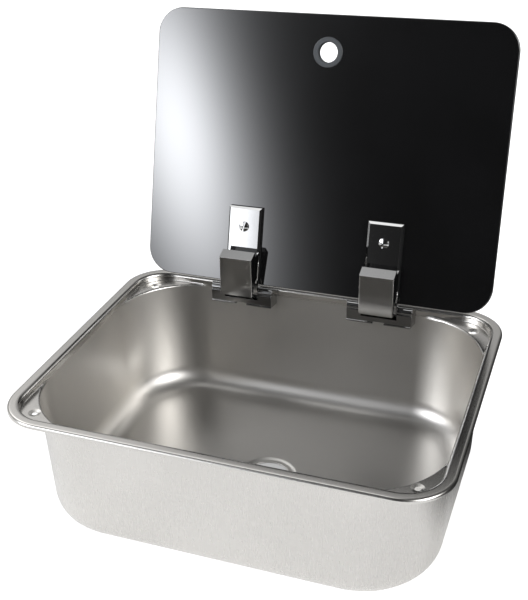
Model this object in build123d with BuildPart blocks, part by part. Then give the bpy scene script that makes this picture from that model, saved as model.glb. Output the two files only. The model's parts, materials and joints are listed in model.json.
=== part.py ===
"""Caravan sink with a hinged glass lid.

Millimetres, +Z up, +Y towards the hinges, origin at the centre of the rim with z = 0 on
the flat top of the flange. The lid is built open, leaning back on its stop.
"""
import os
from math import cos, radians, sin, tan

from build123d import *

os.makedirs("parts", exist_ok=True)

# Pressed sheet
width = 400.0
depth = 320.0
corner_r = 43.5
sheet_t = 1.0
roll_r = 2.7
lip_drop = 3.8

# Opening inside the flange; the bowl's rounder corners leave a pocket with a ledge in each corner
recess_inset = 11.3
recess_drop = 8.0
recess_edge_r = 4.0

# Bowl
bowl_corner_r = 78.0
bowl_depth = 128.0
bowl_taper = 2.74
bowl_floor_r = 23.0

# Drain seat and corner screw holes
drain_r = 22.0
seat_r = 29.0
seat_drop = 1.2
screw_hole_x = 171.3
screw_hole_y = 130.5
screw_hole_r = 2.6
dimple_r = 5.6
dimple_drop = 0.8

# Hinge axis, and the glass standing over it
hinge_x = 74.5
pin_y = 140.9
pin_z = -3.1
lean = 15.0
foot_back = -0.3
foot_rise = 8.2

# Glass
glass_w = 368.6
glass_h = 280.8
glass_t = 5.0
glass_r = 27.0
glass_edge = 0.7
finger_s = 244.0
finger_r = 10.0
grommet_r = 15.0
grommet_wall = 1.9
grommet_t = 1.6

# Hinge base
base_half_w = 33.4
base_back_half_w = 35.6
base_front_y = pin_y - 5.6
base_low_z = -18.0
base_top_z = -4.1
knuckle_r = 4.5
gap_half_w = 18.6
gap_floor_z = -11.0
shelf_z = -3.4
shelf_front_y = pin_y + 5.0
lip_out = 1.0
lip_h = 1.6
notch_half_w = 5.8
notch_h = 2.2

# Hinge arm
arm_half_w = 18.0
bore_r = 3.0
pin_r = 2.0
pin_len = 63.0
running_gap = 0.05
stop_gap = 0.1
pad_t = 1.0
clamp_t = 5.0
clamp_top = 81.8
clamp_bevel = 2.2
clamp_screw_s = 61.2
neck_t = 3.6
cover_half_w = 17.5
cover_wall = 2.0
cover_clear_r = 17.0
cover_front_low = (120.3, -0.5)
cover_front_top = (121.0, 41.5)
cover_back_top = (133.5, 45.5)
cover_groove_z = 40.5

# Clamp and fixing hardware
screw_r = 2.0
screw_clear_r = 2.2
sleeve_r = 4.0
head_r = 5.2
head_h = 2.4
slot_w = 1.2
slot_deep = 1.2
rear_clamp_w = 30.0
rear_clamp_h = 40.0
rear_clamp_t = 3.0
fixing_x = 26.0
fixing_z = -14.0
fixing_deep = 8.0
backing_w = 64.0
backing_h = 9.0
backing_t = 1.5
pan_r = 3.5
pan_h = 2.4

# Worked out
glass_foot = (pin_y + foot_back, pin_z + foot_rise)
lid_face = Plane(
    origin=(0, *glass_foot), x_dir=(1, 0, 0),
    z_dir=(0, -cos(radians(lean)), sin(radians(lean))))


def on_lid(s, off):
    """(y, z) of a point s up the glass and off in front of its front face."""
    return (glass_foot[0] + s * sin(radians(lean)) - off * cos(radians(lean)),
            glass_foot[1] + s * cos(radians(lean)) + off * sin(radians(lean)))


def wall_y(z):
    """Where the inner back wall of the bowl is at height z."""
    return depth / 2 - recess_inset + z * tan(radians(bowl_taper))


shelf_back_y = wall_y(shelf_z)


def side_plane(x):
    """Sketch plane across a hinge: its own axes are the world's Y and Z."""
    return Plane(origin=(x, 0, 0), x_dir=(0, 1, 0), z_dir=(1, 0, 0))


def wall_plane(x, z):
    """Plane on the inner back wall, facing out of the bowl."""
    return Plane(
        origin=(x, wall_y(z), z), x_dir=(-1, 0, 0),
        z_dir=(0, cos(radians(bowl_taper)), -sin(radians(bowl_taper))))


def rim_slab(inset, top, thickness, edge_r):
    """Rounded rectangle inset from the rim, with its top edge rolled."""
    with BuildPart() as slab:
        with BuildSketch(Plane.XY.offset(top)):
            RectangleRounded(width - 2 * inset, depth - 2 * inset, corner_r - inset)
        extrude(amount=-thickness)
        if edge_r:
            fillet(slab.faces().sort_by(Axis.Z)[-1].edges(), edge_r)
    return slab.part


def draft_block(corner, drop, floor_r, grow):
    """Tapered block down from the rim: the inner form, or with grow the outer form."""
    inset = recess_inset - grow
    with BuildPart() as block:
        with BuildSketch():
            RectangleRounded(width - 2 * inset, depth - 2 * inset, corner + grow)
        extrude(amount=-(drop + grow), taper=bowl_taper)
        if floor_r:
            fillet(block.faces().sort_by(Axis.Z)[0].edges(), floor_r + grow)
    return block.part


def basin_form(grow):
    """The bowl with the four corner pockets."""
    with BuildPart() as form:
        add(draft_block(corner_r - recess_inset, recess_drop, 0, grow))
        add(draft_block(bowl_corner_r, bowl_depth, bowl_floor_r, grow))
    return form.part


# ---------------------------------------------------------------- basin
with BuildPart() as basin:
    add(rim_slab(0, 0, lip_drop, roll_r))
    add(rim_slab(sheet_t, -sheet_t, lip_drop, roll_r - sheet_t), mode=Mode.SUBTRACT)
    add(basin_form(sheet_t))
    underside = basin.faces().filter_by(Axis.Z).filter_by_position(
        Axis.Z, -sheet_t - 0.01, -sheet_t + 0.01)[0]
    fillet(underside.inner_wires()[0].edges(), recess_edge_r - sheet_t)
    with GridLocations(2 * screw_hole_x, 2 * screw_hole_y, 2, 2):
        with Locations((0, 0, -recess_drop - sheet_t - dimple_drop / 2)):
            Cone(screw_hole_r + sheet_t, dimple_r + sheet_t, dimple_drop)
    with Locations((0, 0, -bowl_depth - (seat_drop + sheet_t) / 2)):
        Cylinder(seat_r + sheet_t, seat_drop + sheet_t)
    add(basin_form(0), mode=Mode.SUBTRACT)
    rim_edges = basin.faces().filter_by(Plane.XY).sort_by(Axis.Z)[-1].inner_wires()[0].edges()
    fillet(rim_edges, recess_edge_r)
    with GridLocations(2 * screw_hole_x, 2 * screw_hole_y, 2, 2):
        with Locations((0, 0, -recess_drop - dimple_drop / 2)):
            Cone(screw_hole_r, dimple_r, dimple_drop, mode=Mode.SUBTRACT)
        with Locations((0, 0, -recess_drop - dimple_drop)):
            Cylinder(screw_hole_r, 4 * sheet_t, mode=Mode.SUBTRACT)
    with Locations((0, 0, -bowl_depth - seat_drop / 2)):
        Cylinder(seat_r, seat_drop, mode=Mode.SUBTRACT)
    with Locations((0, 0, -bowl_depth - seat_drop)):
        Cylinder(drain_r, 4 * sheet_t, mode=Mode.SUBTRACT)
    for side in (-1, 1):
        with BuildSketch(wall_plane(side * hinge_x, fixing_z)):
            with GridLocations(2 * fixing_x, 0, 2, 1):
                Circle(screw_clear_r)
        extrude(amount=2 * sheet_t, both=True, mode=Mode.SUBTRACT)
basin.part.label = "basin"
export_step(basin.part, "parts/basin.step")

# ---------------------------------------------------------------- glass lid
with BuildPart() as glass_lid:
    with BuildSketch(lid_face):
        with Locations((0, glass_h / 2)):
            RectangleRounded(glass_w, glass_h, glass_r)
        with Locations((0, finger_s)):
            Circle(finger_r + grommet_wall, mode=Mode.SUBTRACT)
        with Locations((-hinge_x, clamp_screw_s), (hinge_x, clamp_screw_s)):
            Circle(sleeve_r, mode=Mode.SUBTRACT)
    extrude(amount=-glass_t)
    faces = glass_lid.faces().filter_by(lid_face)
    chamfer([edge for face in faces for edge in face.outer_wire().edges()], glass_edge)
glass_lid.part.label = "glass_lid"
export_step(glass_lid.part, "parts/glass_lid.step")

with BuildPart() as grommet_front:
    with BuildSketch(lid_face):
        with Locations((0, finger_s)):
            Circle(grommet_r)
            Circle(finger_r, mode=Mode.SUBTRACT)
    extrude(amount=grommet_t)
    front = grommet_front.faces().filter_by(lid_face).sort_by(Axis.Y)[0]
    fillet(front.edges(), grommet_t / 2)
    with BuildSketch(lid_face):
        with Locations((0, finger_s)):
            Circle(finger_r + grommet_wall)
            Circle(finger_r, mode=Mode.SUBTRACT)
    extrude(amount=-(glass_t + grommet_t))
grommet_front.part.label = "grommet_front"
export_step(grommet_front.part, "parts/grommet_front.step")

with BuildPart() as grommet_rear:
    with BuildSketch(lid_face.offset(-glass_t)):
        with Locations((0, finger_s)):
            Circle(grommet_r)
            Circle(finger_r + grommet_wall, mode=Mode.SUBTRACT)
    extrude(amount=-grommet_t)
    back = grommet_rear.faces().filter_by(lid_face).sort_by(Axis.Y)[-1]
    fillet(back.outer_wire().edges(), grommet_t / 2)
grommet_rear.part.label = "grommet_rear"
export_step(grommet_rear.part, "parts/grommet_rear.step")


# ---------------------------------------------------------------- hinge pieces
def hinge_base(x):
    """Casting on the back wall: two cheeks, a cross bar below and a shelf along the wall."""
    across = side_plane(x)
    back_top_y = wall_y(-recess_drop)
    with BuildPart() as base:
        with BuildSketch(across):
            Polygon(
                (base_front_y, base_low_z), (base_front_y, base_top_z - 0.8),
                (base_front_y + 0.8, base_top_z), (pin_y, base_top_z),
                (pin_y, shelf_z), (shelf_back_y, shelf_z),
                (wall_y(base_low_z), base_low_z), align=None)
            with Locations((pin_y, pin_z)):
                Circle(knuckle_r)
        extrude(amount=base_back_half_w, both=True)
        with BuildSketch(Plane.XY.offset(base_low_z)):
            with Locations((x, 0)):
                Polygon(
                    (-base_half_w, base_front_y), (base_half_w, base_front_y),
                    (base_back_half_w, shelf_back_y), (-base_back_half_w, shelf_back_y),
                    align=None)
        extrude(amount=2 * knuckle_r - base_low_z, mode=Mode.INTERSECT)
        with BuildSketch(across):
            Polygon(
                (base_front_y, base_low_z), (base_front_y - lip_out, base_low_z),
                (base_front_y - lip_out, base_low_z + lip_h - 0.5),
                (base_front_y, base_low_z + lip_h), align=None)
        extrude(amount=base_half_w, both=True)
        with BuildSketch(across):
            Polygon(
                (base_front_y - 1, gap_floor_z), (back_top_y + 1, gap_floor_z),
                (back_top_y + 1, -recess_drop), (shelf_front_y, -recess_drop),
                (shelf_front_y, knuckle_r), (base_front_y - 1, knuckle_r), align=None)
        extrude(amount=gap_half_w, both=True, mode=Mode.SUBTRACT)
        with BuildSketch(across):
            with Locations((pin_y, base_low_z)):
                Rectangle(4 * knuckle_r, 2 * notch_h)
        extrude(amount=notch_half_w, both=True, mode=Mode.SUBTRACT)
        with BuildSketch(across.offset(pin_len / 2)):
            with Locations((pin_y, pin_z)):
                Circle(pin_r)
        extrude(amount=-2 * pin_len, mode=Mode.SUBTRACT)
        with BuildSketch(wall_plane(x, fixing_z)):
            with GridLocations(2 * fixing_x, 0, 2, 1):
                Circle(screw_r)
        extrude(amount=-fixing_deep, mode=Mode.SUBTRACT)
    return base.part


def clamp_plate(x):
    """The arm's front plate, with its front edges bevelled."""
    with BuildPart() as plate:
        with BuildSketch(lid_face.offset(pad_t)):
            with Locations((x, (1 + clamp_top) / 2)):
                Rectangle(2 * arm_half_w, clamp_top - 1)
        extrude(amount=clamp_t)
        chamfer(plate.faces().filter_by(lid_face).sort_by(Axis.Y)[0].edges(), clamp_bevel)
    return plate.part


def hinge_arm(x):
    """Casting that turns on the pin: knuckle, neck, clamp plate, hollow cover, stop heel."""
    across = side_plane(x)
    heel_z = shelf_z + stop_gap
    with BuildPart() as arm:
        with BuildSketch(across):
            Polygon(
                cover_front_low, cover_front_top, cover_back_top,
                (cover_back_top[0] + 0.6, cover_groove_z),
                on_lid(36.0, pad_t + 0.5), on_lid(1.0, pad_t + 0.5),
                (pin_y - knuckle_r, cover_front_low[1]), align=None)
        extrude(amount=cover_half_w, both=True)
        fillet(arm.edges().filter_by(Axis.X, reverse=True).sort_by(Axis.Y)[0:2], 1.2)
        with BuildSketch(across):
            Polygon(
                (cover_front_low[0] + cover_wall, cover_front_low[1] - 1),
                (cover_front_top[0] + cover_wall, cover_groove_z - 2.5),
                on_lid(36.0, pad_t)[:1] + (cover_groove_z - 2.5,),
                on_lid(1.0, pad_t), (pin_y, cover_front_low[1] - 1), align=None)
        extrude(amount=cover_half_w - cover_wall, both=True, mode=Mode.SUBTRACT)
        with BuildSketch(across):
            with Locations((pin_y, pin_z)):
                Circle(cover_clear_r)
        extrude(amount=arm_half_w, both=True, mode=Mode.SUBTRACT)
        add(clamp_plate(x))
        with BuildSketch(across):
            Polygon(
                on_lid(6, pad_t), on_lid(6, pad_t + neck_t), on_lid(-2.5, pad_t + neck_t),
                on_lid(-7.8, 2.1), (pin_y, pin_z), on_lid(-5, -2.4), on_lid(-1, pad_t),
                align=None)
            Polygon(
                (pin_y, heel_z), (shelf_back_y - 0.7, heel_z), (shelf_back_y - 0.7, heel_z + 2),
                (shelf_back_y - 2.5, heel_z + 3.8), (pin_y + 1, heel_z + 4), align=None)
            with Locations((pin_y, pin_z)):
                Circle(knuckle_r)
        extrude(amount=arm_half_w, both=True)
        with BuildSketch(across):
            with Locations((pin_y, pin_z)):
                Circle(bore_r)
        extrude(amount=arm_half_w, both=True, mode=Mode.SUBTRACT)
        with BuildSketch(lid_face):
            with Locations((x, clamp_screw_s)):
                Circle(screw_clear_r)
        extrude(amount=2 * clamp_t, mode=Mode.SUBTRACT)
    return arm.part


def round_bar(x, outer_r, inner_r, length):
    """Bar or tube on the hinge axis."""
    with BuildPart() as bar:
        with BuildSketch(side_plane(x)):
            with Locations((pin_y, pin_z)):
                Circle(outer_r)
                if inner_r:
                    Circle(inner_r, mode=Mode.SUBTRACT)
        extrude(amount=length / 2, both=True)
    return bar.part


def clamped_plate(x, start, thickness, w, s_low, s_high, hole_r):
    """Flat plate or pad parallel to the glass, with one hole for the clamp screw."""
    with BuildPart() as plate:
        with BuildSketch(lid_face.offset(start)):
            with Locations((x, (s_low + s_high) / 2)):
                RectangleRounded(w, s_high - s_low, 1.5)
            with Locations((x, clamp_screw_s)):
                Circle(hole_r, mode=Mode.SUBTRACT)
        extrude(amount=thickness)
    return plate.part


def hole_bush(x):
    """Bush that keeps the clamp screw off the glass."""
    with BuildPart() as bush:
        with BuildSketch(lid_face):
            with Locations((x, clamp_screw_s)):
                Circle(sleeve_r)
                Circle(screw_clear_r, mode=Mode.SUBTRACT)
        extrude(amount=-glass_t)
    return bush.part


def clamp_screw(x):
    """Domed, slotted screw through the arm, the pads and the glass."""
    seat = lid_face.offset(pad_t + clamp_t)
    reach = clamp_t + glass_t + 2 * pad_t + rear_clamp_t
    with BuildPart() as screw:
        with BuildSketch(seat):
            with Locations((x, clamp_screw_s)):
                Circle(head_r)
        extrude(amount=head_h)
        top = screw.faces().filter_by(lid_face).sort_by(Axis.Y)[0]
        fillet(top.edges(), head_h * 0.6)
        with BuildSketch(seat.offset(head_h - slot_deep)):
            with Locations((x, clamp_screw_s)):
                Rectangle(2.2 * head_r, slot_w, rotation=40)
        extrude(amount=slot_deep, mode=Mode.SUBTRACT)
        with BuildSketch(seat):
            with Locations((x, clamp_screw_s)):
                Circle(screw_r)
        extrude(amount=-reach)
    return screw.part


def backing_plate(x):
    """Steel strip behind the bowl wall under the fixing screw heads."""
    with BuildPart() as plate:
        with BuildSketch(wall_plane(x, fixing_z).offset(sheet_t)):
            RectangleRounded(backing_w, backing_h, 2)
            with GridLocations(2 * fixing_x, 0, 2, 1):
                Circle(screw_clear_r, mode=Mode.SUBTRACT)
        extrude(amount=backing_t)
    return plate.part


def fixing_screw(x):
    """Pan-head screw from behind into a cheek of the base."""
    seat = wall_plane(x, fixing_z).offset(sheet_t + backing_t)
    with BuildPart() as screw:
        with BuildSketch(seat):
            Circle(pan_r)
        extrude(amount=pan_h)
        fillet(screw.faces().sort_by(Axis.Y)[-1].edges(), pan_h * 0.5)
        with BuildSketch(seat):
            Circle(screw_r)
        extrude(amount=-(sheet_t + backing_t + fixing_deep))
    return screw.part


rear_start = -(glass_t + pad_t)
rear_low = clamp_screw_s - rear_clamp_h / 2
rear_high = clamp_screw_s + rear_clamp_h / 2
for side, x in (("left", -hinge_x), ("right", hinge_x)):
    pieces = {
        "hinge_base": hinge_base(x),
        "hinge_arm": hinge_arm(x),
        "hinge_pin": round_bar(x, pin_r, 0, pin_len),
        "pin_bush": round_bar(x, bore_r, pin_r + running_gap, 2 * arm_half_w),
        "front_pad": clamped_plate(
            x, 0, pad_t, 2 * arm_half_w, 1, clamp_top, screw_clear_r),
        "rear_pad": clamped_plate(
            x, -glass_t - pad_t, pad_t, rear_clamp_w, rear_low, rear_high, screw_clear_r),
        "rear_clamp": clamped_plate(
            x, rear_start - rear_clamp_t, rear_clamp_t, rear_clamp_w, rear_low, rear_high,
            screw_r),
        "glass_bush": hole_bush(x),
        "backing_plate": backing_plate(x),
    }
    for name, piece in pieces.items():
        piece.label = f"{side}_{name}"
        export_step(piece, f"parts/{side}_{name}.step")

clamp_screws = Compound(
    label="clamp_screws", children=[clamp_screw(side * hinge_x) for side in (-1, 1)])
export_step(clamp_screws, "parts/clamp_screws.step")

fixing_screws = Compound(
    label="fixing_screws",
    children=[fixing_screw(side * hinge_x + end * fixing_x)
              for side in (-1, 1) for end in (-1, 1)])
export_step(fixing_screws, "parts/fixing_screws.step")
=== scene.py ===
"""Looks for the caravan sink with a hinged glass lid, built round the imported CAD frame.

Metres, +Z up, +Y towards the hinges, origin at the centre of the rim.
"""
import json
import math

import bmesh
import bpy
from mathutils import Matrix, Vector


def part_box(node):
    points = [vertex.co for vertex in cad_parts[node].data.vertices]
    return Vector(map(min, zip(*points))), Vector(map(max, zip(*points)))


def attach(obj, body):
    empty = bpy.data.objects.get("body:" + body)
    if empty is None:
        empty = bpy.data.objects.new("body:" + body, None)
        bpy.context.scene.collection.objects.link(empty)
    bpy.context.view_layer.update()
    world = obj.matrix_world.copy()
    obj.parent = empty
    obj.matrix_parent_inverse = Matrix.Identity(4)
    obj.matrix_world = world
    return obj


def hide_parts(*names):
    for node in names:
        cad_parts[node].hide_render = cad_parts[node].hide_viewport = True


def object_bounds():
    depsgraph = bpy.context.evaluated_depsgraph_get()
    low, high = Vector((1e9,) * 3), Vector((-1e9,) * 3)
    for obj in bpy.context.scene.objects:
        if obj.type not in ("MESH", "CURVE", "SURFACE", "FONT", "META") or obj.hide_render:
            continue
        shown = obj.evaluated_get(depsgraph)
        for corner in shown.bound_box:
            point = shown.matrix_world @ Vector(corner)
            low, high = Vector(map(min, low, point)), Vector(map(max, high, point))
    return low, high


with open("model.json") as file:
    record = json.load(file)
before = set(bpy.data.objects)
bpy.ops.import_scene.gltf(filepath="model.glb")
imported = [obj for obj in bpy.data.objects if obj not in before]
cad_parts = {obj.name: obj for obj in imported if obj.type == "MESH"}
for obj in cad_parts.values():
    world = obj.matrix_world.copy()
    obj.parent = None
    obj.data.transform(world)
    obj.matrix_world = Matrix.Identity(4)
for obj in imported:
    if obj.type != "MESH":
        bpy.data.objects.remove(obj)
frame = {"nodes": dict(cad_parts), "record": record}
cad_low, cad_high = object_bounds()
nodes = frame["nodes"]
mm = 0.001

# ---------------------------------------------------------------- sizes read from the frame
rim_low, rim_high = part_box("basin")
half_w = rim_high.x
half_d = rim_high.y
under_z = rim_low.z

# ---------------------------------------------------------------- pressed sheet (as in the source)
sheet_t = 1.0 * mm
corner_r = 43.5 * mm
roll_r = 2.7 * mm
lip_drop = 3.8 * mm
recess_inset = 11.3 * mm
recess_drop = 8.0 * mm
recess_edge_r = 4.0 * mm
bowl_corner_r = 78.0 * mm
bowl_depth = 128.0 * mm
bowl_taper = math.radians(2.74)
bowl_floor_r = 23.0 * mm
drain_r = 22.0 * mm
seat_r = 29.0 * mm
seat_drop = 1.2 * mm
screw_hole_x = 171.3 * mm
screw_hole_y = 130.5 * mm
screw_hole_r = 2.6 * mm
dimple_r = 5.6 * mm
dimple_drop = 0.8 * mm
hinge_x = 74.5 * mm
fixing_x = 26.0 * mm
fixing_z = -14.0 * mm
fixing_hole_r = 2.2 * mm

# Only here: the corner ledges' roots, noses and fading ends, the drain's sloped and chamfered
# edges, and how far a drill goes through the sheet.
pocket_top = -6.5 * mm
pocket_low = -11.0 * mm
pocket_fade = 6.0 * mm
ledge_root_r = 0.8 * mm
ledge_nose_r = 2.0 * mm
seat_lead = 0.4 * mm
seat_slope = 4.6 * mm
drain_chamfer = 0.3 * mm
drill_reach = 4.0 * mm

# ---------------------------------------------------------------- edges of the other pieces
# A hinge cover's front top edge, at this (y, z), has a wide roll; other hard edges a fine one.
cover_edge = Vector((121.0, 41.5)) * mm
cover_edge_near = 0.6 * mm
cover_roll = 2.0 * mm
hard_edge = math.radians(32)
weld_gap = 0.002 * mm
flat_bend = math.radians(0.6)

# ---------------------------------------------------------------- screws
# Places, seats and shanks are as in the source; the domes and slots are finer here.
lean = math.radians(15)
glass_foot = Vector((0, 140.6, 5.1)) * mm
clamp_screw_s = 61.2 * mm
clamp_seat = 6.0 * mm
clamp_turns = (76, 42)
clamp_sizes = {
    "Head Radius": 5.2 * mm, "Head Height": 2.4 * mm, "Dome": 0.55,
    "Shank Radius": 2.0 * mm, "Shank Length": 15.0 * mm,
    "Slot Width": 1.5 * mm, "Slot Depth": 1.4 * mm,
}
backing_seat = 2.5 * mm
fixing_turns = (15, 70, 120, 40)
fixing_sizes = {
    "Head Radius": 3.5 * mm, "Head Height": 2.4 * mm, "Dome": 0.5,
    "Shank Radius": 2.0 * mm, "Shank Length": 10.5 * mm,
    "Slot Width": 1.0 * mm, "Slot Depth": 1.1 * mm,
}

# ---------------------------------------------------------------- camera
focal_px = 1066.0
centre_px = (230.0, 280.0)
photo_px = (528, 600)
eye = Vector((0.2913, -0.8043, 0.5115))
look = Vector((-0.33418, 0.83110, -0.44451)).normalized()
right = Vector((0.93352, 0.35685, -0.03462)).normalized()


def camera():
    """The photograph's camera: a sensor as wide as the picture's long side."""
    data = bpy.data.cameras.new("camera")
    data.sensor_width = 36.0
    data.lens = focal_px * data.sensor_width / photo_px[1]
    data.shift_x = (photo_px[0] / 2 - centre_px[0]) / photo_px[1]
    data.shift_y = (centre_px[1] - photo_px[1] / 2) / photo_px[1]
    data.clip_start, data.clip_end = 0.05, 50
    cam = bpy.data.objects.new("camera", data)
    up = right.cross(look).normalized()
    axes = Matrix((right, up, -look)).transposed()
    cam.matrix_world = Matrix.Translation(eye) @ axes.to_4x4()
    bpy.context.scene.collection.objects.link(cam)
    bpy.context.scene.camera = cam


# ---------------------------------------------------------------- node helpers
class Tree:
    """Short-hand for building a node tree."""

    def __init__(self, tree):
        self.tree = tree
        tree.nodes.clear()

    def add(self, kind, **settings):
        node = self.tree.nodes.new(kind)
        for key, value in settings.items():
            setattr(node, key, value)
        return node

    def put(self, socket, value):
        if isinstance(value, bpy.types.NodeSocket):
            self.tree.links.new(value, socket)
        else:
            socket.default_value = value

    def math(self, operation, a, b=None):
        node = self.add("ShaderNodeMath", operation=operation)
        for socket, value in zip(node.inputs, (a, b)):
            if value is not None:
                self.put(socket, value)
        return node.outputs[0]

    def ramp(self, value, low, high, to_low=0.0, to_high=1.0):
        node = self.add("ShaderNodeMapRange", interpolation_type="SMOOTHSTEP")
        for name, v in (("Value", value), ("From Min", low), ("From Max", high),
                        ("To Min", to_low), ("To Max", to_high)):
            self.put(node.inputs[name], v)
        return node.outputs["Result"]

    def mix(self, factor, a, b):
        node = self.add("ShaderNodeMix", data_type="RGBA")
        for name, v in (("Factor_Float", factor), ("A_Color", a), ("B_Color", b)):
            socket = next(s for s in node.inputs if s.identifier == name)
            self.put(socket, v)
        return next(s for s in node.outputs if s.identifier == "Result_Color")

    def noise(self, scale, detail=2.0, stretch=(1, 1, 1)):
        place = self.add("ShaderNodeTexCoord")
        mapping = self.add("ShaderNodeMapping")
        self.put(mapping.inputs["Vector"], place.outputs["Object"])
        mapping.inputs["Scale"].default_value = stretch
        node = self.add("ShaderNodeTexNoise")
        self.put(node.inputs["Vector"], mapping.outputs["Vector"])
        node.inputs["Scale"].default_value = scale
        node.inputs["Detail"].default_value = detail
        return node.outputs["Fac"]

    def bump(self, height, strength, distance):
        node = self.add("ShaderNodeBump")
        node.inputs["Strength"].default_value = strength
        node.inputs["Distance"].default_value = distance
        self.put(node.inputs["Height"], height)
        return node.outputs["Normal"]


# ---------------------------------------------------------------- materials
# Between these heights the rim's bright finish turns into the bowl's satin one.
satin_from, satin_to = -6.0 * mm, -12.0 * mm
# More than real glass has, so that the black pane mirrors the lights strongly enough.
glass_index = 2.2


def material(name, build):
    """A material whose Principled shader build(tree, shader) sets up."""
    mat = bpy.data.materials.new(name)
    mat.use_nodes = True
    tree = Tree(mat.node_tree)
    shader = tree.add("ShaderNodeBsdfPrincipled")
    out = tree.add("ShaderNodeOutputMaterial")
    build(tree, shader)
    tree.put(out.inputs["Surface"], shader.outputs["BSDF"])
    return mat


def grey(value):
    return (value, value, value, 1.0)


def warm_grey(value):
    return (value * 1.025, value, value * 0.96, 1.0)


def steel(name, top, deep, grain_stretch):
    """Stainless sheet with a fine grain and slow clouds; top and deep are (tone, roughness)."""
    def build(t, shader):
        clouds = t.ramp(t.noise(9.0, detail=3.0), 0.3, 0.7)
        grain = t.noise(700.0, detail=2.0, stretch=grain_stretch)
        place = t.add("ShaderNodeSeparateXYZ")
        t.put(place.inputs[0], t.add("ShaderNodeTexCoord").outputs["Object"])
        down = t.ramp(place.outputs["Z"], satin_from, satin_to)
        shader.inputs["Metallic"].default_value = 1.0
        tones = [t.mix(clouds, warm_grey(tone * 0.97), warm_grey(tone * 1.03))
                 for tone, _ in (top, deep)]
        t.put(shader.inputs["Base Color"], t.mix(down, *tones))
        rough = t.math("ADD", top[1], t.math("MULTIPLY", down, deep[1] - top[1]))
        worn = t.math("MULTIPLY", rough, t.ramp(grain, 0.2, 0.8, 0.92, 1.08))
        t.put(shader.inputs["Roughness"],
              t.math("ADD", worn, t.math("MULTIPLY", t.math("SUBTRACT", clouds, 0.5), 0.03)))
        t.put(shader.inputs["Normal"], t.bump(grain, 0.003, 0.00003))
    return material(name, build)


def polished(name, tone, rough):
    """Polished plating: mirror-like with faint ripples and hairline wear."""
    def build(t, shader):
        ripple = t.noise(60.0, detail=1.5)
        hair = t.noise(500.0, detail=2.0, stretch=(1, 1, 12))
        shader.inputs["Metallic"].default_value = 1.0
        t.put(shader.inputs["Base Color"],
              t.mix(t.ramp(ripple, 0.3, 0.7), grey(tone * 0.97), grey(tone)))
        t.put(shader.inputs["Roughness"], t.ramp(hair, 0.35, 0.75, rough, rough * 2.2))
        t.put(shader.inputs["Normal"], t.bump(ripple, 0.04, 0.0002))
    return material(name, build)


def black_glass():
    """Tempered glass, printed black behind: near-black body under a clear gloss."""
    def build(t, shader):
        print_tone = t.noise(14.0, detail=2.0)
        dust = t.noise(1500.0, detail=2.0)
        t.put(shader.inputs["Base Color"],
              t.mix(t.ramp(print_tone, 0.35, 0.65), (0.0030, 0.0030, 0.0032, 1),
                    (0.0042, 0.0042, 0.0046, 1)))
        t.put(shader.inputs["Roughness"], t.ramp(dust, 0.45, 0.8, 0.015, 0.045))
        shader.inputs["IOR"].default_value = glass_index
    return material("black_glass", build)


def moulded(name, colour, rough):
    """Moulded plastic or rubber with a fine spark-eroded skin."""
    def build(t, shader):
        skin = t.noise(700.0, detail=2.0)
        dark = tuple(c * 0.85 for c in colour[:3]) + (1,)
        t.put(shader.inputs["Base Color"], t.mix(t.ramp(skin, 0.3, 0.7), dark, colour))
        t.put(shader.inputs["Roughness"], t.ramp(skin, 0.3, 0.7, rough, rough * 1.2))
        t.put(shader.inputs["Normal"], t.bump(skin, 0.15, 0.00008))
    return material(name, build)


bright_inside = steel("bright_rim_satin_bowl", (0.60, 0.21), (0.56, 0.37), (1.0, 1.0, 0.08))
plain_outside = steel("plain_steel_outside", (0.62, 0.28), (0.62, 0.28), (1.0, 1.0, 0.08))
chrome = polished("polished_chrome", 0.52, 0.03)
# Painted shade: the hinge base's chrome gets a darker tone than the arms', standing for the dark
# reflections in its faces.
chrome_painted_dark = polished("base_chrome_painted_dark", 0.36, 0.04)
bright_steel = polished("bright_steel_bar", 0.6, 0.12)
glass = black_glass()
dark_trim = moulded("dark_grey_trim", (0.055, 0.060, 0.065, 1), 0.35)
pad_rubber = moulded("pad_rubber", (0.012, 0.012, 0.012, 1), 0.6)
nylon = moulded("natural_nylon", (0.72, 0.70, 0.64, 1), 0.45)


# ---------------------------------------------------------------- mesh helpers
def linked(name, mesh, *materials):
    obj = bpy.data.objects.new(name, mesh)
    bpy.context.scene.collection.objects.link(obj)
    for m in materials:
        mesh.materials.append(m)
    return obj


def evaluated(obj):
    """Turns what the object's modifiers make into its plain mesh, and clears them."""
    graph = bpy.context.evaluated_depsgraph_get()
    mesh = bpy.data.meshes.new_from_object(obj.evaluated_get(graph))
    obj.modifiers.clear()
    obj.data = mesh


def soften(obj, angle_deg=35):
    """Shades the object smooth, with its flat faces kept flat."""
    for face in obj.data.polygons:
        face.use_smooth = True
    obj.data.set_sharp_from_angle(angle=math.radians(angle_deg))
    weighted = obj.modifiers.new("weighted", "WEIGHTED_NORMAL")
    weighted.keep_sharp = True
    weighted.weight = 80


def rounded(obj, width, segments, method):
    """Rounds the object's hard edges, by angle or by the weights it carries."""
    bevel = obj.modifiers.new("edge", "BEVEL")
    bevel.width = width
    bevel.segments = segments
    bevel.limit_method = method
    bevel.angle_limit = hard_edge
    bevel.harden_normals = False
    bevel.use_clamp_overlap = True
    evaluated(obj)


def on_cover_edge(edge):
    """Whether an edge is the front top edge of a hinge cover."""
    return all((v.co.yz - cover_edge).length < cover_edge_near for v in edge.verts)


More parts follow.
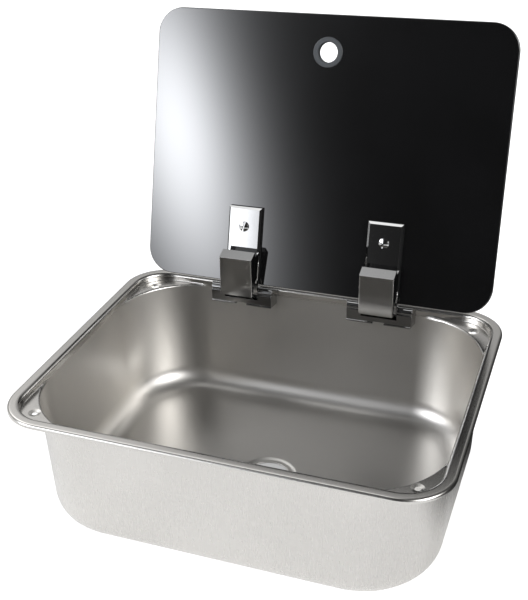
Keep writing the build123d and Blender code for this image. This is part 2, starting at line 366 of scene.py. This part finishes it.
def dressed(node, mat, edge):
    """A merged copy of a CAD node with its hard edges rounded by edge, standing for the node."""
    mesh = nodes[node].data.copy()
    mesh.materials.clear()
    if "custom_normal" in mesh.attributes:
        mesh.attributes.remove(mesh.attributes["custom_normal"])
    bm = bmesh.new()
    bm.from_mesh(mesh)
    bmesh.ops.remove_doubles(bm, verts=bm.verts, dist=weld_gap)
    bmesh.ops.dissolve_limit(bm, angle_limit=flat_bend, verts=bm.verts, edges=bm.edges)
    wide = node.endswith("hinge_arm")
    if wide:
        weight = bm.edges.layers.float.new("bevel_weight_edge")
        for e in bm.edges:
            if on_cover_edge(e):
                e[weight] = 1.0
            elif len(e.link_faces) == 2 and e.calc_face_angle() > hard_edge:
                e[weight] = edge / cover_roll
    bm.to_mesh(mesh)
    bm.free()
    obj = linked(f"{node}_piece", mesh, mat)
    if wide:
        rounded(obj, cover_roll, 5, "WEIGHT")
    elif edge:
        rounded(obj, edge, 3, "ANGLE")
    soften(obj)
    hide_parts(node)
    return obj


# ---------------------------------------------------------------- basin
# Columns round a corner and along the sides, then rings over each part of the section.
corner_steps = 48
long_steps = 14
short_steps = 10
lip_steps = 8
lip_back_steps = 6
flat_steps = 3
roll_steps = 10
root_steps = 4
nose_steps = 7
wall_steps = 12
floor_corner_steps = 14
floor_steps = 6
seat_steps = 8

# The centre of the bowl's corner, from which the columns fan out.
turn_x =half_w - recess_inset - bowl_corner_r
turn_y = half_d - recess_inset - bowl_corner_r


def corner_points(w, d, r):
    """Where rays from the centre of the bowl's corner meet a rounded rectangle's corner."""
    cx, cy = w - r, d - r
    points = []
    for k in range(corner_steps + 1):
        a = math.radians(90 * k / corner_steps)
        ux, uy = math.cos(a), math.sin(a)
        to_side = (w - turn_x) / max(ux, 1e-9)
        to_end = (d - turn_y) / max(uy, 1e-9)
        if turn_y + to_side * uy <= cy:
            reach = to_side
        elif turn_x + to_end * ux <= cx:
            reach = to_end
        else:
            along = ux * (turn_x - cx) + uy * (turn_y - cy)
            short = (turn_x - cx) ** 2 + (turn_y - cy) ** 2 - r * r
            reach = -along + math.sqrt(along * along - short)
        points.append((turn_x + reach * ux, turn_y + reach * uy))
    return points


def outline_ring(w, d, r, z):
    """A ring round a rounded rectangle, in the columns that every ring shares."""
    points = corner_points(w, d, r)
    corners = [[Vector((sx * x, sy * y, z)) for x, y in (points if sx == sy else points[::-1])]
               for sx, sy in ((1, 1), (-1, 1), (-1, -1), (1, -1))]
    ring = []
    for index, corner in enumerate(corners):
        steps = short_steps if index % 2 else long_steps
        after = corners[(index + 1) % 4][0]
        ring += corner + [corner[-1].lerp(after, k / steps) for k in range(1, steps)]
    return ring


def circle_like(ring, r, z):
    """The ring's points moved onto a circle, each in its own direction."""
    return [Vector((p.x, p.y, 0)).normalized() * r + Vector((0, 0, z)) for p in ring]


def rim_ring(inset, z):
    """A ring concentric with the flange."""
    return outline_ring(half_w - inset, half_d - inset, corner_r - inset, z)


def bowl_ring(inset, z):
    """A ring concentric with the bowl's opening."""
    return outline_ring(half_w - inset, half_d - inset, bowl_corner_r + recess_inset - inset, z)


def arc(centre, r, start_deg, end_deg, steps):
    """(inset, z) points of an arc; 0 points inwards to the bowl and 90 up."""
    points = []
    for k in range(steps + 1):
        a = math.radians(start_deg + (end_deg - start_deg) * k / steps)
        points.append((centre[0] + r * math.cos(a), centre[1] + r * math.sin(a)))
    return points


def wall_inset(z):
    """How far in from the flange's edge the tapered wall is at this height."""
    return recess_inset - z * math.tan(bowl_taper)


def inner_roll(r, start_deg, end_deg):
    """(inset, z) points over the roll from the flat down to the wall, or on its back."""
    centre = (wall_inset(-recess_edge_r) - recess_edge_r / math.cos(bowl_taper), -recess_edge_r)
    return arc(centre, r, start_deg, end_deg, roll_steps)


def pocket_rings(grow):
    """Down the walls and over the corner ledges, which fade out along the sides.

    Each column runs from the flange's outline to the bowl's. Where the gap between the two is
    narrow, its ledge shrinks and blends into a straight wall. grow gives the sheet's back.
    """
    root, nose, ledge = ledge_root_r + grow, ledge_nose_r - grow, -recess_drop - grow
    outlines = [make(wall_inset(z) - grow, 0)
                for make in (rim_ring, bowl_ring) for z in (pocket_top, pocket_low)]
    columns = []
    for out_top, out_low, in_top, in_low in zip(*outlines):
        gap = (in_top - out_top).length
        size = min(1.0, gap / (root + nose))
        r1, r2 = root * size, nose * size
        section = [(0, pocket_top)]
        section += [(r1 - x, ledge + r1 + z) for x, z in arc((0, 0), r1, 0, -90, root_steps)]
        section += [(r1 + (gap - r1 - r2) * k / flat_steps, ledge) for k in range(1, flat_steps)]
        section += [(gap - r2 + x, ledge - r2 + z)
                    for x, z in arc((0, 0), r2, 90, 0, nose_steps)]
        section += [(gap, pocket_low)]
        depth = min(1.0, gap / pocket_fade)
        depth *= depth * (3 - 2 * depth)
        column = []
        for k, (inwards, z) in enumerate(section):
            even = k / (len(section) - 1)
            share = even + (inwards / gap - even) * depth if gap > 1e-7 else even
            z = z * depth + (pocket_top + (pocket_low - pocket_top) * even) * (1 - depth)
            down = (pocket_top - z) / (pocket_top - pocket_low)
            spot = out_top.lerp(out_low, down).lerp(in_top.lerp(in_low, down), share)
            column.append(Vector((spot.x, spot.y, z)))
        columns.append(column)
    return [list(ring) for ring in zip(*columns)]


def bowl_section(grow):
    """(inset, z) points down the bowl's wall and round its floor corner; grow gives the back."""
    t = math.degrees(bowl_taper)
    centre_z = -bowl_depth + bowl_floor_r
    centre = (wall_inset(centre_z) + bowl_floor_r / math.cos(bowl_taper), centre_z)
    heights = [pocket_low + (centre_z - pocket_low) * k / wall_steps
               for k in range(1, wall_steps)]
    wall = [(wall_inset(z) - grow, z) for z in heights]
    return wall + arc(centre, bowl_floor_r + grow, 180 + t, 270, floor_corner_steps)


def floor_ring(r, z):
    """A circle round the drain, with its points in line with the bowl's rings."""
    return circle_like(bowl_ring(wall_inset(-bowl_depth), z), r, z)


def between(first, last, steps):
    """The rings between two rings."""
    return [[p.lerp(q, k / steps) for p, q in zip(first, last)] for k in range(1, steps)]


def front_rings():
    """From the lip over the flange, down the bowl and over its floor to the drain's edge."""
    section = [(0, -lip_drop), (0, -lip_drop * 0.85)]
    section += arc((roll_r, -roll_r), roll_r, 180, 90, lip_steps)
    roll = inner_roll(recess_edge_r, 90, math.degrees(bowl_taper))
    flat = roll[0][0] - roll_r
    section += [(roll_r + flat * k / flat_steps, 0) for k in range(1, flat_steps)] + roll
    rings = [rim_ring(i, z) for i, z in section] + pocket_rings(0)
    rings += [bowl_ring(i, z) for i, z in bowl_section(0)]
    seat_out = floor_ring(seat_r + seat_lead, -bowl_depth)
    rings += between(rings[-1], seat_out, floor_steps) + [seat_out]
    for k in range(1, seat_steps + 1):
        share = k / seat_steps
        drop = seat_drop * share * share * (3 - 2 * share)
        rings.append(floor_ring(seat_r + seat_lead - seat_slope * share, -bowl_depth - drop))
    seat_z = -bowl_depth - seat_drop
    return rings + [floor_ring(drain_r + drain_chamfer, seat_z),
                    floor_ring(drain_r, seat_z - drain_chamfer)]


def back_rings():
    """The sheet's back, from the drain out under the floor and up to the lip's inside."""
    rings = [floor_ring(drain_r, under_z), floor_ring(seat_r + sheet_t * 0.6, under_z),
             floor_ring(seat_r + sheet_t, under_z + 0.4 * mm),
             floor_ring(seat_r + sheet_t * 1.2, -bowl_depth - sheet_t)]
    wall = [bowl_ring(i, z) for i, z in bowl_section(sheet_t)][::-1]
    rings += between(rings[-1], wall[0], floor_steps) + wall + pocket_rings(sheet_t)[::-1]
    section = inner_roll(recess_edge_r - sheet_t, math.degrees(bowl_taper), 90)
    section += arc((roll_r, -roll_r), roll_r - sheet_t, 90, 180, lip_back_steps)
    section += [(sheet_t, -lip_drop)]
    return rings + [rim_ring(i, z) for i, z in section]


def basin_mesh():
    """The sheet as a closed skin of quads: its front, then its back."""
    runs = (front_rings(), back_rings())
    bm = bmesh.new()
    rows = [(finish, [bm.verts.new(p) for p in ring])
            for finish, run in enumerate(runs) for ring in run]
    for (finish, a), (_, b) in zip(rows, rows[1:] + rows[:1]):
        for k in range(len(a)):
            n = (k + 1) % len(a)
            bm.faces.new((a[k], a[n], b[n], b[k])).material_index = finish
    bmesh.ops.recalc_face_normals(bm, faces=bm.faces)
    mesh = bpy.data.meshes.new("basin")
    bm.to_mesh(mesh)
    bm.free()
    return mesh


def cutter(name, profile, places):
    """Turned cutters with an (r, z) profile, one at each place."""
    bm = bmesh.new()
    steps = 48
    turns = [2 * math.pi * k / steps for k in range(steps)]
    for place in places:
        rows = [[bm.verts.new(place @ Vector((r * math.cos(turn), r * math.sin(turn), z)))
                 for turn in turns] for r, z in profile]
        for a, b in zip(rows, rows[1:]):
            for k in range(steps):
                n = (k + 1) % steps
                bm.faces.new((a[k], a[n], b[n], b[k]))
        bm.faces.new(rows[0][::-1])
        bm.faces.new(rows[-1])
    bmesh.ops.recalc_face_normals(bm, faces=bm.faces)
    mesh = bpy.data.meshes.new(name)
    bm.to_mesh(mesh)
    bm.free()
    return linked(name, mesh)


def combined(obj, tool, operation):
    """Joins the tool to the object or cuts it out exactly, and throws the tool away."""
    boolean = obj.modifiers.new("boolean", "BOOLEAN")
    boolean.operation = operation
    boolean.solver = "EXACT"
    boolean.object = tool
    boolean.material_mode = "INDEX"
    evaluated(obj)
    bpy.data.objects.remove(tool)


def make_basin():
    """The sheet with its dimpled corner screw holes and the holes for the fixing screws."""
    basin = linked("pressed_basin", basin_mesh(), bright_inside, plain_outside)
    corners = [Matrix.Translation((sx * screw_hole_x, sy * screw_hole_y, 0))
               for sx in (-1, 1) for sy in (-1, 1)]
    ledge = -recess_drop
    # Under the ledge: from inside the sheet, past its back, to the bottom of the pressed cone.
    boss = [
        (dimple_r + sheet_t, ledge - 0.5 * sheet_t),
        (dimple_r + 0.6 * sheet_t, ledge - sheet_t - 0.2 * mm),
        (screw_hole_r + 1.6 * mm, ledge - sheet_t - dimple_drop),
    ]
    combined(basin, cutter("boss", boss, corners), "UNION")
    # From above the ledge, over the cone's soft upper edge, down its side and out by the hole.
    dimple = [
        (dimple_r + 0.5 * mm, ledge + 0.3 * mm),
        (dimple_r + 0.35 * mm, ledge + 0.02 * mm),
        (dimple_r, ledge - 0.12 * mm),
        (screw_hole_r + 0.5 * mm, ledge - dimple_drop + 0.1 * mm),
        (screw_hole_r, ledge - dimple_drop - 0.2 * mm),
        (screw_hole_r, ledge - drill_reach),
    ]
    combined(basin, cutter("dimple", dimple, corners), "DIFFERENCE")
    tilt = Matrix.Rotation(math.radians(90), 4, "X")
    wall_y = half_d - wall_inset(fixing_z)
    drill = [(fixing_hole_r, -drill_reach), (fixing_hole_r, drill_reach)]
    spots = [Matrix.Translation((side * hinge_x + end * fixing_x, wall_y, fixing_z)) @ tilt
             for side in (-1, 1) for end in (-1, 1)]
    combined(basin, cutter("drill", drill, spots), "DIFFERENCE")
    soften(basin, 30)
    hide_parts("basin")
    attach(basin, "basin")


# ---------------------------------------------------------------- screws
head_sides = 48
head_rings = 8
shank_sides = 32
# How far the shank goes up into the head, as a share of the head's height.
shank_bite = 0.3
# The slot cutter's length in head radii, so that it passes both sides of the head.
blade_reach = 2.4
merge_gap = 0.004 * mm


def domed_head(t, given):
    """A flat-based head standing on the seat; its top falls by Dome of its height at the rim."""
    drum = t.add("GeometryNodeMeshCylinder", fill_type="TRIANGLE_FAN")
    drum.inputs["Vertices"].default_value = head_sides
    drum.inputs["Fill Segments"].default_value = head_rings
    t.put(drum.inputs["Radius"], given["Head Radius"])
    t.put(drum.inputs["Depth"], given["Head Height"])
    place = t.add("ShaderNodeSeparateXYZ")
    t.put(place.inputs[0], t.add("GeometryNodeInputPosition").outputs[0])
    x, y, z = place.outputs
    lift = t.math("ADD", z, t.math("MULTIPLY", given["Head Height"], 0.5))
    square = t.math("ADD", t.math("MULTIPLY", x, x), t.math("MULTIPLY", y, y))
    share = t.math("DIVIDE", square, t.math("POWER", given["Head Radius"], 2.0))
    fall = t.math("SUBTRACT", 1.0, t.math("MULTIPLY", share, given["Dome"]))
    spot = t.add("ShaderNodeCombineXYZ")
    for socket, value in zip(spot.inputs, (x, y, t.math("MULTIPLY", lift, fall))):
        t.put(socket, value)
    moved = t.add("GeometryNodeSetPosition")
    t.put(moved.inputs["Geometry"], drum.outputs["Mesh"])
    t.put(moved.inputs["Position"], spot.outputs[0])
    return moved.outputs[0]


def lifted(t, mesh, height):
    """A mesh of the tree moved along the screw's axis."""
    up = t.add("ShaderNodeCombineXYZ")
    t.put(up.inputs["Z"], height)
    move = t.add("GeometryNodeTransform")
    t.put(move.inputs["Geometry"], mesh)
    t.put(move.inputs["Translation"], up.outputs[0])
    return move.outputs[0]


def screw_tree():
    """Puts a slotted screw on every point: a domed head on a plain shank."""
    group = bpy.data.node_groups.new("slotted_screws", "GeometryNodeTree")
    sockets = [("Places", "Geometry"), ("Metal", "Material")]
    sockets += [(name, "Float") for name in (
        "Tilt", "Head Radius", "Head Height", "Dome", "Shank Radius", "Shank Length",
        "Slot Width", "Slot Depth")]
    for name, kind in sockets:
        group.interface.new_socket(name, in_out="INPUT", socket_type="NodeSocket" + kind)
    group.interface.new_socket("Screws", in_out="OUTPUT", socket_type="NodeSocketGeometry")
    t = Tree(group)
    given = t.add("NodeGroupInput").outputs
    bite = t.math("MULTIPLY", given["Head Height"], shank_bite)
    shank = t.add("GeometryNodeMeshCylinder", fill_type="NGON")
    shank.inputs["Vertices"].default_value = shank_sides
    t.put(shank.inputs["Radius"], given["Shank Radius"])
    t.put(shank.inputs["Depth"], t.math("ADD", given["Shank Length"], bite))
    sunk = t.math("MULTIPLY", t.math("SUBTRACT", bite, given["Shank Length"]), 0.5)
    solid = t.add("GeometryNodeMeshBoolean", operation="UNION", solver="EXACT")
    t.put(solid.inputs["Mesh 2"], domed_head(t, given))
    t.put(solid.inputs["Mesh 2"], lifted(t, shank.outputs["Mesh"], sunk))
    size = t.add("ShaderNodeCombineXYZ")
    sides = (t.math("MULTIPLY", given["Head Radius"], blade_reach), given["Slot Width"],
             t.math("MULTIPLY", given["Slot Depth"], 2.0))
    for socket, value in zip(size.inputs, sides):
        t.put(socket, value)
    blade = t.add("GeometryNodeMeshCube")
    t.put(blade.inputs["Size"], size.outputs[0])
    cut = t.add("GeometryNodeMeshBoolean", operation="DIFFERENCE", solver="EXACT")
    t.put(cut.inputs["Mesh 1"], solid.outputs["Mesh"])
    t.put(cut.inputs["Mesh 2"], lifted(t, blade.outputs["Mesh"], given["Head Height"]))
    whole = t.add("GeometryNodeMergeByDistance")
    t.put(whole.inputs["Geometry"], cut.outputs["Mesh"])
    whole.inputs["Distance"].default_value = merge_gap
    turned = []
    slot_turn = t.add("GeometryNodeInputNamedAttribute", data_type="FLOAT")
    slot_turn.inputs["Name"].default_value = "slot_turn"
    for axis, angle in (("X", given["Tilt"]), ("Z", slot_turn.outputs[0])):
        euler = t.add("ShaderNodeCombineXYZ")
        t.put(euler.inputs[axis], angle)
        rotation = t.add("FunctionNodeEulerToRotation")
        t.put(rotation.inputs[0], euler.outputs[0])
        turned.append(rotation.outputs[0])
    stand = t.add("FunctionNodeRotateRotation", rotation_space="LOCAL")
    t.put(stand.inputs["Rotation"], turned[0])
    t.put(stand.inputs["Rotate By"], turned[1])
    each = t.add("GeometryNodeInstanceOnPoints")
    t.put(each.inputs["Points"], given["Places"])
    t.put(each.inputs["Instance"], whole.outputs["Geometry"])
    t.put(each.inputs["Rotation"], stand.outputs[0])
    real = t.add("GeometryNodeRealizeInstances")
    t.put(real.inputs["Geometry"], each.outputs[0])
    coat = t.add("GeometryNodeSetMaterial")
    t.put(coat.inputs["Geometry"], real.outputs[0])
    t.put(coat.inputs["Material"], given["Metal"])
    t.put(t.add("NodeGroupOutput").inputs["Screws"], coat.outputs[0])
    return group


def make_screws(node, group, places, turns, sizes):
    """All the screws of one node, on their seats; turns gives each slot's angle in degrees."""
    mesh = bpy.data.meshes.new(node)
    mesh.from_pydata(places, [], [])
    values = mesh.attributes.new("slot_turn", "FLOAT", "POINT")
    for row, turn in zip(values.data, turns):
        row.value = math.radians(turn)
    obj = linked(f"{node}_piece", mesh)
    screws = obj.modifiers.new("screws", "NODES")
    screws.node_group = group
    for item in group.interface.items_tree:
        if item.name in sizes:
            screws[item.identifier] = sizes[item.name]
    evaluated(obj)
    soften(obj)
    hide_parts(node)
    return obj


def all_screws():
    """The two clamp screws in the arms, and the four fixing screws behind the wall."""
    group = screw_tree()
    out = Vector((0, -math.cos(lean), math.sin(lean)))
    up = Vector((0, math.sin(lean), math.cos(lean)))
    seat = glass_foot + up * clamp_screw_s + out * clamp_seat
    clamp_places = [seat + Vector((side * hinge_x, 0, 0)) for side in (-1, 1)]
    clamp = {**clamp_sizes, "Tilt": math.radians(90) - lean, "Metal": chrome}
    behind = Vector((0, math.cos(bowl_taper), -math.sin(bowl_taper)))
    wall = Vector((0, half_d - wall_inset(fixing_z), fixing_z)) + behind * backing_seat
    fixing_places = [wall + Vector((side * hinge_x + end * fixing_x, 0, 0))
                     for side in (-1, 1) for end in (-1, 1)]
    fixing = {**fixing_sizes, "Tilt": -math.radians(90) - bowl_taper, "Metal": bright_steel}
    rows = {
        "clamp_screws": (clamp_places, clamp_turns, clamp),
        "fixing_screws": (fixing_places, fixing_turns, fixing),
    }
    return {node: make_screws(node, group, *row) for node, row in rows.items()}


# ---------------------------------------------------------------- studio
# Soft lights round the object: azimuth from the hinge side towards +X and elevation in
# degrees, tightness of the lobe, level at its middle, and how cool it is.
soft_lights = {
    "left_key": (-131, 26, 34, 10.5, 0.02),
    "right_key": (116, 27, 22, 9.2, 0.0),
    "left_back": (-60, 44, 20, 2.4, 0.0),
    "back": (-10, 30, 7, 0.5, 0.0),
    "overhead": (-75, 76, 50, 1.6, 0.0),
    "low_left": (-90, 4, 26, 1.0, 0.0),
}
room_level = 0.02

# The near edge of the left key light, as slopes sideways and upwards from straight ahead.
edge_level = 7.0
edge_centre = (-0.437, 0.178)
edge_width = 5.97
edge_skew = 2.14
edge_height = 2.36
edge_fall = 8.0
edge_cool = 0.02

# The floor glows to the camera, and in the metal with a painted reflection. In the metal its glow
# ends
# # and the floor turns dark over these distances from the middle, this way round from +X. Within
# these
# # distances of the drain the floor has a painted shadow: its colour and glow are dimmer.
floor_glow = 0.66
painted_floor_reflection = 0.34
dark_reflection_turn = math.radians(50)
dark_reflection_span = (0.08, 0.22)
drain_shadow_span = (0.03, 0.07)
drain_shadow_level = 0.42


def unit(azimuth, elevation):
    """The direction towards a light."""
    a, e = math.radians(azimuth), math.radians(elevation)
    return (math.cos(e) * math.sin(a), math.cos(e) * math.cos(a), math.sin(e))


def glow(t, level, cool=0.0):
    """A background of this level."""
    node = t.add("ShaderNodeBackground")
    node.inputs["Color"].default_value = (1 - cool, 1, 1 + 2 * cool, 1)
    t.put(node.inputs["Strength"], level)
    return node.outputs[0]


def together(t, shaders):
    """The sum of these shaders."""
    total = shaders[0]
    for shader in shaders[1:]:
        both = t.add("ShaderNodeAddShader")
        t.put(both.inputs[0], total)
        t.put(both.inputs[1], shader)
        total = both.outputs[0]
    return total


def light_edge(t, direction):
    """The slanted near edge of the left key light, which the glass mirrors."""
    axes = t.add("ShaderNodeSeparateXYZ")
    t.put(axes.inputs[0], direction)
    x, y, z = axes.outputs
    ahead = t.math("MAXIMUM", t.math("MULTIPLY", y, -1.0), 0.05)
    across = t.math("SUBTRACT", t.math("DIVIDE", x, ahead), edge_centre[0])
    above = t.math("SUBTRACT", t.math("DIVIDE", z, ahead), edge_centre[1])
    skewed = t.math("ADD", t.math("MULTIPLY", across, edge_width),
                    t.math("MULTIPLY", above, edge_skew))
    spread = t.math("ADD", t.math("POWER", skewed, 2.0),
                    t.math("POWER", t.math("MULTIPLY", above, edge_height), 2.0))
    level = t.math("DIVIDE", edge_level,
                   t.math("POWER", t.math("ADD", spread, 1.0), edge_fall))
    return t.math("MULTIPLY", level, t.ramp(y, -0.6, -0.8))


def studio_world():
    """White to the camera; round the object a dark room with a few soft lights."""
    world = bpy.data.worlds.new("studio")
    world.use_nodes = True
    bpy.context.scene.world = world
    t = Tree(world.node_tree)
    direction = t.add("ShaderNodeTexCoord").outputs["Generated"]
    lights = [glow(t, room_level), glow(t, light_edge(t, direction), edge_cool)]
    for azimuth, elevation, tight, level, cool in soft_lights.values():
        dot = t.add("ShaderNodeVectorMath", operation="DOT_PRODUCT")
        t.put(dot.inputs[0], direction)
        dot.inputs[1].default_value = unit(azimuth, elevation)
        off = t.math("MULTIPLY", t.math("SUBTRACT", dot.outputs["Value"], 1.0), tight)
        lights.append(glow(t, t.math("MULTIPLY", t.math("EXPONENT", off), level), cool))
    path = t.add("ShaderNodeLightPath")
    mixed = t.add("ShaderNodeMixShader")
    t.put(mixed.inputs[0], path.outputs["Is Camera Ray"])
    t.put(mixed.inputs[1], together(t, lights))
    t.put(mixed.inputs[2], glow(t, 1.0))
    out = t.add("ShaderNodeOutputWorld")
    t.put(out.inputs["Surface"], mixed.outputs[0])


def floor():
    """A pale floor with a painted shadow round the drain, and in the metal a painted reflection
    that is dark towards the back right.
    """
    bm = bmesh.new()
    bmesh.ops.create_grid(bm, x_segments=1, y_segments=1, size=6.0)
    bmesh.ops.translate(bm, verts=bm.verts, vec=(0, 0, cad_low.z - 0.2 * mm))
    mesh = bpy.data.meshes.new("floor")
    bm.to_mesh(mesh)
    bm.free()
    mat = bpy.data.materials.new("floor_card")
    mat.use_nodes = True
    t = Tree(mat.node_tree)
    place = t.add("ShaderNodeSeparateXYZ")
    t.put(place.inputs[0], t.add("ShaderNodeTexCoord").outputs["Object"])
    away = t.math("ADD", t.math("MULTIPLY", place.outputs["X"], math.cos(dark_reflection_turn)),
                  t.math("MULTIPLY", place.outputs["Y"], math.sin(dark_reflection_turn)))
    path = t.add("ShaderNodeLightPath")
    in_metal = path.outputs["Is Glossy Ray"]
    # Painted reflection: only in the metal does the floor turn dark towards the back right.
    far = t.math("MULTIPLY", in_metal, t.ramp(away, dark_reflection_span[0], dark_reflection_span[1]))
    squares = [t.math("POWER", place.outputs[axis], 2.0) for axis in ("X", "Y")]
    from_drain = t.math("SQRT", t.math("ADD", *squares))
    # Painted shadow: round the drain the floor's colour and glow are dimmer.
    drain_shadow_factor = t.ramp(from_drain, drain_shadow_span[0], drain_shadow_span[1], drain_shadow_level, 1.0)
    card = t.add("ShaderNodeBsdfDiffuse")
    pale = t.mix(drain_shadow_factor, grey(0.0), grey(0.8))
    t.put(card.inputs["Color"], t.mix(far, pale, grey(0.03)))
    # The floor's glow in the metal is a painted reflection.
    shown = t.math("ADD", t.math("MULTIPLY", path.outputs["Is Camera Ray"], floor_glow),
                   t.math("MULTIPLY", t.math("SUBTRACT", in_metal, far), painted_floor_reflection))
    light = t.add("ShaderNodeEmission")
    t.put(light.inputs["Strength"], t.math("MULTIPLY", shown, drain_shadow_factor))
    out = t.add("ShaderNodeOutputMaterial")
    t.put(out.inputs["Surface"], together(t, [card.outputs[0], light.outputs[0]]))
    linked("floor", mesh, mat)


# ---------------------------------------------------------------- build
camera()
make_basin()

# The material of each kind of piece, and how far its hard edges are rounded.
finishes = {
    "glass_lid": (glass, 0.25 * mm),
    "grommet_front": (dark_trim, 0),
    "grommet_rear": (dark_trim, 0),
    # The base's darker chrome is painted shade.
    "hinge_base": (chrome_painted_dark, 0.45 * mm),
    "hinge_arm": (chrome, 0.45 * mm),
    "hinge_pin": (bright_steel, 0.2 * mm),
    "pin_bush": (nylon, 0),
    "front_pad": (pad_rubber, 0.2 * mm),
    "rear_pad": (pad_rubber, 0.2 * mm),
    "rear_clamp": (chrome, 0.3 * mm),
    "glass_bush": (nylon, 0),
    "backing_plate": (bright_steel, 0.3 * mm),
}
bodies = {name: body for body, members in frame["record"]["behaviour"]["bodies"].items()
          for name in members}
pieces = all_screws()
for node in sorted(nodes):
    if node == "basin" or node in pieces:
        continue
    kind = node.split("_", 1)[1] if node.startswith(("left_", "right_")) else node
    finish, edge = finishes[kind]
    pieces[node] = dressed(node, finish, edge)
for node, piece in pieces.items():
    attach(piece, bodies[node])

studio_world()
floor()
bpy.context.scene.view_settings.view_transform = "Standard"
